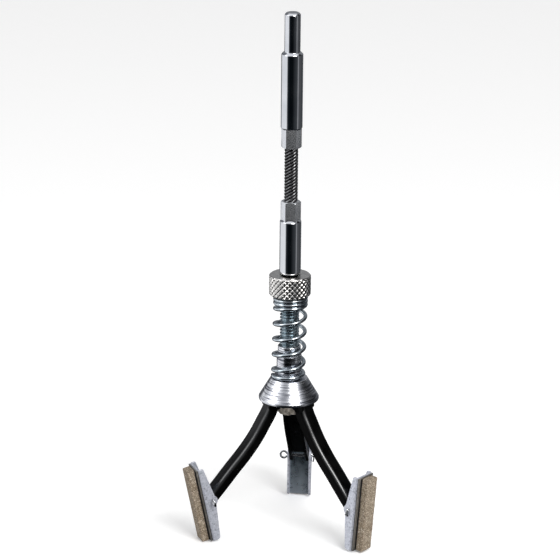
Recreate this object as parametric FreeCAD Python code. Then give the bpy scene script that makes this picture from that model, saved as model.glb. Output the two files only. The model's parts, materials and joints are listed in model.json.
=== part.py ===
import FreeCAD, Part
import math
import os

# Three-leg spring-loaded hone for small bores, driven through a flexible shaft.
# Millimetres, +Z up along the tool's axis, z = 0 at the level the shoes stand on.
# The tool is drawn free: arms fully spread by the spring.

V = FreeCAD.Vector
AXIS = V(0, 0, 1)

# Heights along the axis
SHANK_TOP_Z = 205.6
SHANK_SHOULDER_Z = 190.6
UPPER_HEX_TOP_Z = 160.9
UPPER_HEX_END_Z = 153.9
LOWER_HEX_TOP_Z = 132.9
LOWER_HEX_END_Z = 125.8
FERRULE_END_Z = 104.0
NUT_TOP_Z = 103.8
NUT_HEIGHT = 7.9
HUB_TOP_Z = 75.4
HUB_BAND_Z = 71.6
CONE_TOP_Z = 62.4
RIM_TOP_Z = 55.0
RIM_END_Z = 53.6

# Drive shank and the two crimped ferrules
SPIGOT_R = 3.0
FERRULE_R = 4.1
HEX_CORNER_R = 3.85
HEX_TURN_DEG = 6.0
CRIMP_DEPTH = 8.0
EDGE_ROUND = 0.6

# Flexible shaft
FLEX_R = 2.62
FLEX_CORE_R = 1.3
CRIMP_CLEARANCE = 0.05

# Threaded rod
THREAD_R = 3.7
THREAD_ROOT_R = 3.05
THREAD_PITCH = 1.25
THREAD_END_Z = 74.0
ROD_R = 3.0
NECK_R = 2.9
ROD_SOCKET_DEPTH = 9.0
ROD_END_Z = 47.6
RUNNING_CLEARANCE = 0.05
THREAD_CLEARANCE = 0.08

# Adjusting nut and spring
NUT_R = 8.0
NUT_CHAMFER = 0.4
SPRING_R = 5.9
SPRING_WIRE_R = 0.75
SPRING_START_DEG = 188.0
CLOSED_BELOW = 0.85
ACTIVE_TURNS = 4.35
CLOSED_ABOVE = 2.45
SEAT_GAP = 0.02

# Spreader cone
RIM_R = 11.6
RIM_WALL = 1.0
RIM_BORE_R = RIM_R - RIM_WALL
CONE_TOP_R = 7.1
CONE_WALL = 1.4
CONE_ROOF = 1.2
HUB_R = 4.8
HUB_BAND_R = 4.4
COUNTERBORE_DEPTH = 8.2

# Spider at the rod's end
PIVOT_R = 5.8
PIVOT_Z = 54.4
SPIDER_HUB_R = 4.3
SPIDER_TOP_Z = 57.4
SPIDER_END_Z = 47.9
PRONG_END_R = 1.9
ARM_PIN_R = 0.9
PIN_CLEARANCE = 0.08

# Arms: channels pressed from sheet, closed side outward
ARM_WIDTH = 7.4
ARM_SHEET = 1.05
ARM_DEPTH = 3.9
PRONG_WIDTH = ARM_WIDTH - 2 * ARM_SHEET - 0.5
TONGUE_WIDTH = 3.8
PIVOT_EAR_R = 2.2
ARM_END_R = 2.1
SHOE_PIVOT_R = 33.0
SHOE_PIVOT_Z = 17.2
ARM_RIM_GAP = 1.45
ARM_TOP_R = RIM_BORE_R - ARM_RIM_GAP
ARM_BACK = ((ARM_TOP_R, 53.4), (9.9, 51.0), (12.4, 46.4), (15.4, 41.2), (19.8, 35.2), (25.1, 29.1),
            (30.0, 23.3), (33.4, 19.4))
TONGUE_BACK = ((ARM_TOP_R - 3.05, 60.6), (ARM_TOP_R - 0.15, 56.0), (ARM_TOP_R, 52.8))

# Shoes, backing plates and stones, measured from the shoe pivot:
# n runs outward through the stone, s runs up along it
SHOE_SHEET = 0.8
SHOE_SIDE_GAP = 0.2
SHOE_WIDTH = ARM_WIDTH + 2 * (SHOE_SHEET + SHOE_SIDE_GAP)
SHOE_WEB_N = 3.2
SHOE_APEX_R = 2.2
SHOE_TOP_S = 14.2
SHOE_END_S = -16.4
EAR_TOP_N = 0.9
EAR_END_N = 0.0
PLATE_SHEET = 0.6
PLATE_WIDTH = 8.8
PLATE_OVERHANG = 0.2
STONE_LENGTH = 30.0
STONE_WIDTH = 6.0
STONE_THICK = 3.1
STONE_TOP_S = 13.9

# Split pins through the shoes and arm ends
SPLIT_PIN_R = 0.8
SPLIT_WIRE_R = 0.4
SPLIT_EYE_R = 1.15
SPLIT_TAIL = 2.6
SPLIT_STANDOFF = 0.3

# Azimuth of each arm and how far its shoe leans outward at the top
ARM_AZIMUTH_DEG = {1: 90.0, 2: 210.0, 3: 330.0}
SHOE_LEAN_DEG = {1: 8.0, 2: 12.0, 3: 5.0}


def rod_shape(radius, z0, z1):
    return Part.makeCylinder(radius, z1 - z0, V(0, 0, z0))


def cross_rod(radius, y0, y1, r, z):
    return Part.makeCylinder(radius, y1 - y0, V(r, y0, z), V(0, 1, 0))


def turned(profile):
    """Solid of revolution about the tool's axis from a closed (radius, z) outline."""
    points = [V(r, 0, z) for r, z in profile]
    points.append(points[0])
    return Part.Face(Part.makePolygon(points)).revolve(V(0, 0, 0), AXIS, 360)


def slab(edges, width):
    """Plate of the given width across Y from edges lying in the XZ plane."""
    wire = Part.Wire(Part.__sortEdges__(edges))
    face = Part.Face(wire)
    face.translate(V(0, -width / 2, 0))
    return face.extrude(V(0, width, 0))


def lines(points):
    return [Part.makeLine(V(a[0], 0, a[1]), V(b[0], 0, b[1])) for a, b in zip(points, points[1:])]


def curve(points):
    spline = Part.BSplineCurve()
    spline.interpolate([V(r, 0, z) for r, z in points])
    return spline.toShape()


def arc(start, middle, end):
    return Part.Arc(*[V(r, 0, z) for r, z in (start, middle, end)]).toShape()


def offset_inward(points, distance):
    """The points moved sideways, toward the tool's axis, by the distance."""
    moved = []
    for i, (r, z) in enumerate(points):
        r0, z0 = points[max(i - 1, 0)]
        r1, z1 = points[min(i + 1, len(points) - 1)]
        length = math.hypot(r1 - r0, z1 - z0)
        moved.append((r + (z1 - z0) / length * distance, z - (r1 - r0) / length * distance))
    return moved


def hex_crimp(z0, z1):
    """Six-sided crimp with both ends chamfered round."""
    corners = []
    for i in range(7):
        a = math.radians(HEX_TURN_DEG + 60 * i)
        corners.append(V(HEX_CORNER_R * math.cos(a), HEX_CORNER_R * math.sin(a), z0))
    prism = Part.Face(Part.makePolygon(corners)).extrude(V(0, 0, z1 - z0))
    short = HEX_CORNER_R - EDGE_ROUND
    trim = turned([(0, z0), (short, z0), (HEX_CORNER_R, z0 + EDGE_ROUND),
                   (HEX_CORNER_R, z1 - EDGE_ROUND), (short, z1), (0, z1)])
    return prism.common(trim)


def drive_shank():
    body = turned([(0, UPPER_HEX_TOP_Z), (FERRULE_R - EDGE_ROUND, UPPER_HEX_TOP_Z),
                   (FERRULE_R, UPPER_HEX_TOP_Z + EDGE_ROUND),
                   (FERRULE_R, SHANK_SHOULDER_Z - EDGE_ROUND),
                   (FERRULE_R - EDGE_ROUND, SHANK_SHOULDER_Z), (SPIGOT_R, SHANK_SHOULDER_Z),
                   (SPIGOT_R, SHANK_TOP_Z - EDGE_ROUND), (SPIGOT_R - EDGE_ROUND, SHANK_TOP_Z),
                   (0, SHANK_TOP_Z)])
    shape = body.fuse(hex_crimp(UPPER_HEX_END_Z, UPPER_HEX_TOP_Z + 0.01))
    bore = rod_shape(FLEX_R + CRIMP_CLEARANCE, UPPER_HEX_END_Z - 1, UPPER_HEX_END_Z + CRIMP_DEPTH)
    return shape.cut(bore).removeSplitter()


def lower_ferrule():
    body = turned([(0, FERRULE_END_Z), (FERRULE_R - EDGE_ROUND, FERRULE_END_Z),
                   (FERRULE_R, FERRULE_END_Z + EDGE_ROUND),
                   (FERRULE_R, LOWER_HEX_END_Z - EDGE_ROUND),
                   (FERRULE_R - EDGE_ROUND, LOWER_HEX_END_Z), (0, LOWER_HEX_END_Z)])
    shape = body.fuse(hex_crimp(LOWER_HEX_END_Z - 0.01, LOWER_HEX_TOP_Z))
    flex_bore = rod_shape(FLEX_R + CRIMP_CLEARANCE, LOWER_HEX_TOP_Z - CRIMP_DEPTH, LOWER_HEX_TOP_Z + 1)
    rod_bore = rod_shape(NECK_R + PIN_CLEARANCE, FERRULE_END_Z - 1, FERRULE_END_Z + ROD_SOCKET_DEPTH)
    return shape.cut(flex_bore).cut(rod_bore).removeSplitter()


def flex_winding():
    z0 = LOWER_HEX_TOP_Z - CRIMP_DEPTH + SEAT_GAP
    z1 = UPPER_HEX_END_Z + CRIMP_DEPTH - SEAT_GAP
    return rod_shape(FLEX_R, z0, z1).cut(rod_shape(FLEX_CORE_R + CRIMP_CLEARANCE, z0, z1))


def flex_core():
    z0 = LOWER_HEX_TOP_Z - CRIMP_DEPTH + SEAT_GAP
    z1 = UPPER_HEX_END_Z + CRIMP_DEPTH - SEAT_GAP
    return rod_shape(FLEX_CORE_R, z0, z1)


def threaded_rod():
    """Rod with ring grooves standing for the thread, plain where the cone slides."""
    top = FERRULE_END_Z + ROD_SOCKET_DEPTH - SEAT_GAP
    thread_top = NUT_TOP_Z - 0.4
    outline = [(0, ROD_END_Z), (ROD_R, ROD_END_Z), (ROD_R, THREAD_END_Z), (THREAD_ROOT_R, THREAD_END_Z)]
    z = THREAD_END_Z
    while z + THREAD_PITCH < thread_top:
        outline.append((THREAD_R, z + 0.4 * THREAD_PITCH))
        outline.append((THREAD_R, z + 0.6 * THREAD_PITCH))
        outline.append((THREAD_ROOT_R, z + THREAD_PITCH))
        z += THREAD_PITCH
    outline += [(NECK_R, z), (NECK_R, top), (0, top)]
    return turned(outline)


def adjusting_nut():
    z0 = NUT_TOP_Z - NUT_HEIGHT
    bore_r = THREAD_R + THREAD_CLEARANCE
    return turned([(bore_r, z0), (NUT_R - NUT_CHAMFER, z0), (NUT_R, z0 + NUT_CHAMFER),
                   (NUT_R, NUT_TOP_Z - NUT_CHAMFER), (NUT_R - NUT_CHAMFER, NUT_TOP_Z),
                   (bore_r, NUT_TOP_Z)])


def spring_height(turn, z0, z1):
    """Height of the wire's centre after a number of turns, with closed end turns."""
    closed_rise = 2 * SPRING_WIRE_R
    open_rise = z1 - z0 - (CLOSED_BELOW + CLOSED_ABOVE) * closed_rise
    if turn <= CLOSED_BELOW:
        return z0 + turn * closed_rise
    if turn >= CLOSED_BELOW + ACTIVE_TURNS:
        return z1 - (CLOSED_BELOW + ACTIVE_TURNS + CLOSED_ABOVE - turn) * closed_rise
    return z0 + CLOSED_BELOW * closed_rise + (turn - CLOSED_BELOW) / ACTIVE_TURNS * open_rise


def spring():
    z0 = CONE_TOP_Z + SPRING_WIRE_R + SEAT_GAP
    z1 = NUT_TOP_Z - NUT_HEIGHT - SPRING_WIRE_R - SEAT_GAP
    turns = CLOSED_BELOW + ACTIVE_TURNS + CLOSED_ABOVE
    steps = int(turns * 12)
    points = []
    for i in range(steps + 1):
        turn = turns * i / steps
        a = math.radians(SPRING_START_DEG) + 2 * math.pi * turn
        z = spring_height(turn, z0, z1)
        points.append(V(SPRING_R * math.cos(a), SPRING_R * math.sin(a), z))
    path = Part.BSplineCurve()
    path.interpolate(points)
    start = path.value(path.FirstParameter)
    direction = path.tangent(path.FirstParameter)[0]
    section = Part.Wire(Part.makeCircle(SPRING_WIRE_R, start, direction))
    return Part.Wire(path.toShape()).makePipeShell([section], True, True)


def cone_bore(z):
    """Inner radius of the cone's wall at a height."""
    slope = (RIM_R - CONE_TOP_R) / (CONE_TOP_Z - RIM_TOP_Z)
    return RIM_R - CONE_WALL - slope * (z - RIM_TOP_Z)


def spreader_cone():
    roof = CONE_TOP_Z - CONE_ROOF
    bevel = 0.25
    bore_r = ROD_R + RUNNING_CLEARANCE
    mouth_z = RIM_TOP_Z - (RIM_BORE_R - cone_bore(RIM_TOP_Z)) * (CONE_TOP_Z - RIM_TOP_Z) / (RIM_R - CONE_TOP_R)
    counter_r = THREAD_R + 2 * THREAD_CLEARANCE
    return turned([(RIM_BORE_R, RIM_END_Z), (RIM_R - bevel, RIM_END_Z), (RIM_R, RIM_END_Z + bevel),
                   (RIM_R, RIM_TOP_Z), (CONE_TOP_R, CONE_TOP_Z), (HUB_R, CONE_TOP_Z),
                   (HUB_R, HUB_BAND_Z), (HUB_BAND_R, HUB_BAND_Z),
                   (HUB_BAND_R, HUB_TOP_Z - bevel), (HUB_BAND_R - bevel, HUB_TOP_Z),
                   (counter_r, HUB_TOP_Z), (counter_r, HUB_TOP_Z - COUNTERBORE_DEPTH),
                   (bore_r, HUB_TOP_Z - COUNTERBORE_DEPTH), (bore_r, roof),
                   (cone_bore(roof), roof), (RIM_BORE_R, mouth_z)])


def spider():
    """Hub with three prongs, one inside each arm's channel."""
    shape = rod_shape(SPIDER_HUB_R, SPIDER_END_Z, SPIDER_TOP_Z)
    for azimuth in ARM_AZIMUTH_DEG.values():
        bar = Part.makeBox(PIVOT_R, PRONG_WIDTH, 2 * PRONG_END_R,
                           V(0, -PRONG_WIDTH / 2, PIVOT_Z - PRONG_END_R))
        prong = bar.fuse(cross_rod(PRONG_END_R, -PRONG_WIDTH / 2, PRONG_WIDTH / 2, PIVOT_R, PIVOT_Z))
        prong.rotate(V(0, 0, 0), AXIS, azimuth)
        shape = shape.fuse(prong)
    for azimuth in ARM_AZIMUTH_DEG.values():
        hole = cross_rod(ARM_PIN_R, -ARM_WIDTH, ARM_WIDTH, PIVOT_R, PIVOT_Z)
        hole.rotate(V(0, 0, 0), AXIS, azimuth)
        shape = shape.cut(hole)
    return shape.cut(rod_shape(ROD_R, SPIDER_END_Z - 1, SPIDER_TOP_Z + 1)).removeSplitter()


def arm_pin():
    half = ARM_WIDTH / 2 + 0.3
    return cross_rod(ARM_PIN_R, -half, half, PIVOT_R, PIVOT_Z)


def arm_end_points():
    """Outer, end and inner points of the rounded end about the shoe pivot."""
    r0, z0 = ARM_BACK[-2]
    r1, z1 = ARM_BACK[-1]
    length = math.hypot(r1 - r0, z1 - z0)
    dr, dz = (r1 - r0) / length, (z1 - z0) / length
    r, z = SHOE_PIVOT_R, SHOE_PIVOT_Z
    return ((r - dz * ARM_END_R, z + dr * ARM_END_R), (r + dr * ARM_END_R, z + dz * ARM_END_R),
            (r + dz * ARM_END_R, z - dr * ARM_END_R))


def arm_outline():
    """Side view of an arm below its tongue."""
    outer, end, inner = arm_end_points()
    inner_edge = offset_inward(ARM_BACK, ARM_DEPTH)[1:]
    ear_low = (PIVOT_R - PIVOT_EAR_R, PIVOT_Z - 0.6)
    ear_top = (PIVOT_R, PIVOT_Z + PIVOT_EAR_R)
    ear_side = (PIVOT_R - PIVOT_EAR_R * 0.8, PIVOT_Z + PIVOT_EAR_R * 0.6)
    shoulder = (ARM_BACK[0][0], PIVOT_Z + 0.4)
    edges = [curve(ARM_BACK)]
    edges += lines([ARM_BACK[-1], outer])
    edges += [arc(outer, end, inner)]
    edges += lines([inner, inner_edge[-1]])
    edges += [curve(inner_edge[::-1])]
    edges += lines([inner_edge[0], ear_low])
    edges += [arc(ear_low, ear_side, ear_top)]
    edges += lines([ear_top, shoulder, ARM_BACK[0]])
    return edges


def arm_hollow():
    """Side view of the space inside the channel, open inward and at both ends."""
    inside = offset_inward(ARM_BACK, ARM_SHEET)
    r0, z0 = inside[-1]
    edges = [curve(inside)]
    far_r, low_z, top_z = SHOE_PIVOT_R + 8, SHOE_PIVOT_Z - 8, PIVOT_Z + 8
    edges += lines([inside[-1], ARM_BACK[-1], (r0 + 6, z0 + 3), (far_r, low_z), (-2, low_z), (-2, top_z),
                    (inside[0][0], top_z), inside[0]])
    return edges


def arm():
    shape = slab(arm_outline(), ARM_WIDTH)
    shape = shape.cut(slab(arm_hollow(), ARM_WIDTH - 2 * ARM_SHEET))
    inside = offset_inward(TONGUE_BACK, ARM_SHEET)
    outline = list(TONGUE_BACK) + inside[::-1] + [TONGUE_BACK[0]]
    tongue = slab(lines(outline), TONGUE_WIDTH)
    shape = shape.fuse(tongue)
    shape = shape.cut(cross_rod(ARM_PIN_R + PIN_CLEARANCE, -ARM_WIDTH, ARM_WIDTH, PIVOT_R, PIVOT_Z))
    hole_r = SPLIT_PIN_R + 2 * PIN_CLEARANCE
    shape = shape.cut(cross_rod(hole_r, -ARM_WIDTH, ARM_WIDTH, SHOE_PIVOT_R, SHOE_PIVOT_Z))
    return shape.removeSplitter()


def shoe():
    """Channel with two peaked ears, drawn about its pivot."""
    a = 0.8 * SHOE_APEX_R
    b = 0.6 * SHOE_APEX_R
    edges = lines([(-b, a), (EAR_TOP_N, SHOE_TOP_S), (SHOE_WEB_N, SHOE_TOP_S),
                   (SHOE_WEB_N, SHOE_END_S), (EAR_END_N, SHOE_END_S), (-b, -a)])
    edges += [arc((-b, -a), (-SHOE_APEX_R, 0), (-b, a))]
    shape = slab(edges, SHOE_WIDTH)
    inner_width = SHOE_WIDTH - 2 * SHOE_SHEET
    length = SHOE_TOP_S - SHOE_END_S
    hollow = Part.makeBox(SHOE_WEB_N - SHOE_SHEET + 5, inner_width, length + 2,
                          V(-5, -inner_width / 2, SHOE_END_S - 1))
    shape = shape.cut(hollow)
    return shape.cut(cross_rod(SPLIT_PIN_R + PIN_CLEARANCE, -SHOE_WIDTH, SHOE_WIDTH, 0, 0))


def backing_plate():
    length = STONE_LENGTH + 2 * PLATE_OVERHANG
    low = STONE_TOP_S - STONE_LENGTH - PLATE_OVERHANG
    return Part.makeBox(PLATE_SHEET, PLATE_WIDTH, length, V(SHOE_WEB_N, -PLATE_WIDTH / 2, low))


def stone():
    n = SHOE_WEB_N + PLATE_SHEET
    low = STONE_TOP_S - STONE_LENGTH
    return Part.makeBox(STONE_THICK, STONE_WIDTH, STONE_LENGTH, V(n, -STONE_WIDTH / 2, low))


def split_pin():
    """Two-legged pin: shank through both ears, eye on one side, tails bent on the other."""
    half = SHOE_WIDTH / 2 + SPLIT_STANDOFF
    shape = cross_rod(SPLIT_PIN_R, -half, half, 0, 0)
    eye = Part.makeTorus(SPLIT_EYE_R, SPLIT_WIRE_R, V(0, half + SPLIT_EYE_R - 0.1, 0), V(1, 0, 0))
    shape = shape.fuse(eye)
    for side in (-1, 1):
        tail = Part.makeCylinder(SPLIT_WIRE_R, SPLIT_TAIL, V(0, -half - 0.1, side * 0.2), V(0, -0.35, side))
        shape = shape.fuse(tail)
    return shape


def place_round(shape, number):
    shape.rotate(V(0, 0, 0), AXIS, ARM_AZIMUTH_DEG[number])
    return shape


def place_on_shoe(shape, number):
    shape.rotate(V(0, 0, 0), V(0, 1, 0), SHOE_LEAN_DEG[number])
    shape.translate(V(SHOE_PIVOT_R, 0, SHOE_PIVOT_Z))
    return place_round(shape, number)


def main():
    os.makedirs("parts", exist_ok=True)
    pieces = {
        "drive_shank": drive_shank(),
        "flex_winding": flex_winding(),
        "flex_core": flex_core(),
        "lower_ferrule": lower_ferrule(),
        "threaded_rod": threaded_rod(),
        "adjusting_nut": adjusting_nut(),
        "spring": spring(),
        "spreader_cone": spreader_cone(),
        "spider": spider(),
    }
    for number in ARM_AZIMUTH_DEG:
        pieces[f"arm_{number}"] = place_round(arm(), number)
        pieces[f"arm_pin_{number}"] = place_round(arm_pin(), number)
        pieces[f"shoe_{number}"] = place_on_shoe(shoe(), number)
        pieces[f"backing_plate_{number}"] = place_on_shoe(backing_plate(), number)
        pieces[f"stone_{number}"] = place_on_shoe(stone(), number)
        pieces[f"split_pin_{number}"] = place_on_shoe(split_pin(), number)
    for node, shape in pieces.items():
        shape.exportStep(f"parts/{node}.step")


main()
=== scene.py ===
import json
import math

import bmesh
import bpy
from mathutils import Matrix, Vector, noise


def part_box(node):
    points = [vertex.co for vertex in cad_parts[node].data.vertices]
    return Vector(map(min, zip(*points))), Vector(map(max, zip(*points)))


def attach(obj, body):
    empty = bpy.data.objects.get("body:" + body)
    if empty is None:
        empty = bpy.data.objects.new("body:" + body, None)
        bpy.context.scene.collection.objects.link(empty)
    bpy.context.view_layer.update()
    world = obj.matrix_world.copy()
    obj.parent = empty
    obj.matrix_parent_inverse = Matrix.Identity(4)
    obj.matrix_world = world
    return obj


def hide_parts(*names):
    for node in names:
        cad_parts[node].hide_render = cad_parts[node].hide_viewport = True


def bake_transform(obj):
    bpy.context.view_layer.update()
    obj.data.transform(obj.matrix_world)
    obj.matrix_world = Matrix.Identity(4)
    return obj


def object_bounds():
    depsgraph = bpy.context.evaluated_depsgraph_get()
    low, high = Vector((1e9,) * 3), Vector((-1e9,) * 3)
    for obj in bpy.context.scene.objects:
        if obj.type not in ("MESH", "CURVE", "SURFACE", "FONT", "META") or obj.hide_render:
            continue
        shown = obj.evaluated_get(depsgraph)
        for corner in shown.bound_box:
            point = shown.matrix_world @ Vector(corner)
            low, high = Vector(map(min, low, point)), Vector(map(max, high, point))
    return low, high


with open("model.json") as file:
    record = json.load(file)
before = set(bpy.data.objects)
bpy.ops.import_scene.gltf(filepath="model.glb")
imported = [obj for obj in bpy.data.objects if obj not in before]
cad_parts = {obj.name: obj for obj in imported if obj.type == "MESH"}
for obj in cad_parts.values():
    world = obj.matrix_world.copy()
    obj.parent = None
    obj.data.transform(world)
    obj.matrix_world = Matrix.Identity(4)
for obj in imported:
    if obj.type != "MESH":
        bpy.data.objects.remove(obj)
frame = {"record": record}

CAD_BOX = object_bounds()
MM = 0.001
LEGS = (1, 2, 3)
LEG_AZIMUTH_DEG = {1: 90.0, 2: 210.0, 3: 330.0}
JOINTS = {joint["name"]: joint for joint in frame["record"]["behaviour"]["joints"]}


# ---------------------------------------------------------------- sizes

def low_z(node):
    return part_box(node)[0][2]


def high_z(node):
    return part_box(node)[1][2]


def radius(node):
    """Largest radius of a round piece that stands on the axis."""
    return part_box(node)[1][0]


FERRULE_R = radius("drive_shank")
SPIGOT_R = 3.0 * MM
SPIGOT_LENGTH = 15.0 * MM
CRIMP_LENGTH_UPPER = 7.0 * MM
CRIMP_LENGTH_LOWER = 7.1 * MM
CRIMP_STOCK_R = 4.0 * MM
CRIMP_FLAT_R = 3.36 * MM
CRIMP_TURN_DEG = 6.0
CRIMP_CHAMFER = 0.55 * MM
CRIMP_ROUNDING = 0.32 * MM
CRIMP_OVERLAP = 1.0 * MM     # a crimp's mesh runs this far into its ferrule
FERRULE_BEVEL = 0.75 * MM
FERRULE_ROUNDING = 0.18 * MM
SPIGOT_BEVEL = 0.7 * MM
FLEX_R = radius("flex_winding")
FLEX_WIRE = 1.0 * MM         # drawn coarser than the real winding of about 0.5 mm wire
FLEX_STARTS = 7
FLEX_LEAD = 8.6 * MM
FLEX_UNDRAWN = 5.0 * MM      # length at each end that is deep in its crimp and isn't drawn
FLEX_CORE_GAP = 0.22 * MM
FLEX_BEND = 2.8 * MM         # a distance to either side of mid-length

NUT_R = radius("adjusting_nut")
KNURL_COUNT = 24
KNURL_DEPTH = 0.32 * MM
NUT_CHAMFER = 0.45 * MM
NUT_BORE_CHAMFER = 0.4 * MM
NUT_BORE_GAP = 0.08 * MM
THREAD_R = radius("threaded_rod")
THREAD_ROOT_R = 3.05 * MM
THREAD_PITCH = 1.25 * MM
THREAD_STEPS = 40            # straight pieces in one turn of the thread
THREAD_LOW_Z = 74.0 * MM
ROD_R = 3.0 * MM
NECK_R = 2.9 * MM

SPRING_WIRE_R = 0.75 * MM
SPRING_START_DEG = 188.0
CLOSED_BELOW = 0.85
ACTIVE_TURNS = 4.35
CLOSED_ABOVE = 2.45
SPRING_SPLIT = 1.9           # turns above the lower closed end where the two halves meet
SPRING_LEAN = 0.022          # sideways shift for each unit of height: the spring sits a little askew

RIM_R = radius("spreader_cone")
RIM_HEIGHT = 1.4 * MM
RIM_BORE_R = 10.6 * MM
CONE_TOP_R = 7.1 * MM
CONE_TOP_Z = low_z("spring") - 0.02 * MM
CONE_WALL = 1.4 * MM
CONE_ROOF = 1.2 * MM
HUB_R = 4.8 * MM
HUB_BAND_R = 4.4 * MM
HUB_BAND_HEIGHT = 3.8 * MM
HUB_BORE_R = 3.86 * MM
HUB_BORE_DEPTH = 8.2 * MM
CONE_ROD_GAP = 0.05 * MM

PIVOT = Vector(JOINTS["arm_1_swing"]["pos_m"])
SHOE_PIVOT = Vector(JOINTS["shoe_1_tilt"]["pos_m"])
PIVOT_R = PIVOT.y
PIVOT_Z = PIVOT.z
SHOE_PIVOT_R = SHOE_PIVOT.y
SHOE_PIVOT_Z = SHOE_PIVOT.z
SPIDER_HUB_R = 4.3 * MM
SPIDER_FOLD = 0.26           # share of the radius that the hub's deepest folds take away
PRONG_HALF = 2.4 * MM
PRONG_END_R = 1.9 * MM
PRONG_REACH = 2.6 * MM
RIVET_R = 0.9 * MM
RIVET_HALF = 3.75 * MM
ARM_WIDTH = 7.4 * MM
ARM_SHEET = 1.05 * MM
ARM_DEPTH = 3.9 * MM
ARM_BEND_R = 1.8 * MM
ARM_BACK_MM = ((9.15, 53.4), (9.9, 51.0), (12.4, 46.4), (15.4, 41.2),
               (19.8, 35.2), (25.1, 29.1), (30.0, 23.3), (33.4, 19.4))
ARM_END_R = 2.1 * MM
ARM_EAR_R = 2.2 * MM
TONGUE_MM = ((5.6, 60.6), (8.5, 56.0), (8.65, 52.8))
TONGUE_HALF = 1.9 * MM
TONGUE_SHEET = 0.945 * MM

SHOE_LEAN_DEG = {1: 8.0, 2: 12.0, 3: 5.0}
SHOE_WIDTH = 9.4 * MM
SHOE_SHEET = 0.8 * MM
SHOE_BEND_R = 1.0 * MM
SHOE_WEB_N = 3.2 * MM
SHOE_TOP_S = 14.2 * MM
SHOE_END_S = -16.4 * MM
SHOE_APEX_R = 2.2 * MM
EAR_TOP_N = 0.9 * MM
EAR_END_N = 0.0
EAR_END_ROUNDING = 1.1 * MM
EAR_TOP_ROUNDING = 0.5 * MM
PLATE_SHEET = 0.6 * MM
PLATE_WIDTH = 8.8 * MM
PLATE_OVERHANG = 0.2 * MM
STONE_LENGTH = 30.0 * MM
STONE_WIDTH = 6.0 * MM
STONE_THICK = 3.1 * MM
STONE_TOP_S = 13.9 * MM
STONE_END_S = STONE_TOP_S - STONE_LENGTH
STONE_CUTS = (9, 19, 99)     # along x, y and z
SPLIT_WIRE_R = 0.42 * MM
SPLIT_EYE_R = 1.35 * MM


# ---------------------------------------------------------------- materials

def linear(hex_colour):
    """sRGB hex to the linear RGBA that shader sockets take."""
    out = []
    for i in (1, 3, 5):
        c = int(hex_colour[i:i + 2], 16) / 255
        out.append(c / 12.92 if c <= 0.04045 else ((c + 0.055) / 1.055) ** 2.4)
    return (*out, 1.0)


def add(tree, kind, inputs=None, **settings):
    """Adds a shader node with its settings; a socket given as an input is linked, a value is set."""
    node = tree.nodes.new(kind)
    for key, value in settings.items():
        setattr(node, key, value)
    for key, value in (inputs or {}).items():
        if isinstance(value, bpy.types.NodeSocket):
            tree.links.new(value, node.inputs[key])
        else:
            node.inputs[key].default_value = value
    return node


def material(name, **surface):
    """A material with one Principled shader; surface holds its socket values, spaces as underscores."""
    mat = bpy.data.materials.new(name)
    mat.use_nodes = True
    tree = mat.node_tree
    shader = tree.nodes["Principled BSDF"]
    for key, value in surface.items():
        shader.inputs[key.replace("_", " ")].default_value = value
    return mat, tree, shader


def object_coords(tree, scale=(1, 1, 1)):
    coords = add(tree, "ShaderNodeTexCoord").outputs["Object"]
    return add(tree, "ShaderNodeMapping", {"Vector": coords, "Scale": scale}).outputs[0]


def ramp(tree, factor, stops):
    """Colour ramp from (position, hex) stops."""
    node = add(tree, "ShaderNodeValToRGB", {"Fac": factor})
    elements = node.color_ramp.elements
    while len(elements) < len(stops):
        elements.new(0.5)
    for element, (position, colour) in zip(elements, stops):
        element.position = position
        element.color = linear(colour)
    return node.outputs["Color"]


def mix_colour(tree, factor, first, second, blend="MIX"):
    node = add(tree, "ShaderNodeMix", {0: factor, 6: first, 7: second}, data_type="RGBA", blend_type=blend)
    return node.outputs[2]


def spread(tree, factor, low, high, floor=0.0, ceiling=1.0):
    """Maps a texture's value from floor..ceiling to low..high."""
    return add(tree, "ShaderNodeMapRange", {
        "Value": factor, "From Min": floor, "From Max": ceiling, "To Min": low, "To Max": high}).outputs[0]


def bump(tree, height, distance, strength=1.0, normal=None):
    inputs = {"Height": height, "Distance": distance, "Strength": strength}
    if normal is not None:
        inputs["Normal"] = normal
    return add(tree, "ShaderNodeBump", inputs).outputs[0]


def noise_map(tree, coords, scale, detail, **sockets):
    """Value of a noise texture; sockets may hold its Roughness and Distortion."""
    return add(tree, "ShaderNodeTexNoise", {
        "Vector": coords, "Scale": scale, "Detail": detail, **sockets}).outputs[0]


def vary(tree, texture, low, high):
    """Maps a noise texture, nearly all of which lies between 0.3 and 0.7, to low..high."""
    return spread(tree, texture, low, high, 0.3, 0.7)


def drive(shader, **outputs):
    """Links outputs to the shader's sockets, spaces as underscores."""
    links = shader.id_data.links
    for key, output in outputs.items():
        links.new(output, shader.inputs[key.replace("_", " ")])


def bright_plating(name, rough_low, rough_high, dent, metallic=1.0):
    """Bright nickel-chrome plate: mirror-like, faintly uneven where the steel under it was worked."""
    mat, tree, shader = material(name, Metallic=metallic)
    hair = noise_map(tree, object_coords(tree, (250, 250, 9000)), 1.0, 2.0)
    smear = noise_map(tree, object_coords(tree), 180.0, 4.0)
    uneven = bump(tree, smear, dent, 0.5)
    drive(shader,
          Base_Color=ramp(tree, smear, [(0.3, "#D3D5D9"), (0.7, "#E4E5E8")]),
          Roughness=vary(tree, smear, rough_low, rough_high),
          Normal=bump(tree, hair, 0.004 * MM, 0.5, uneven))
    return mat


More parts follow.
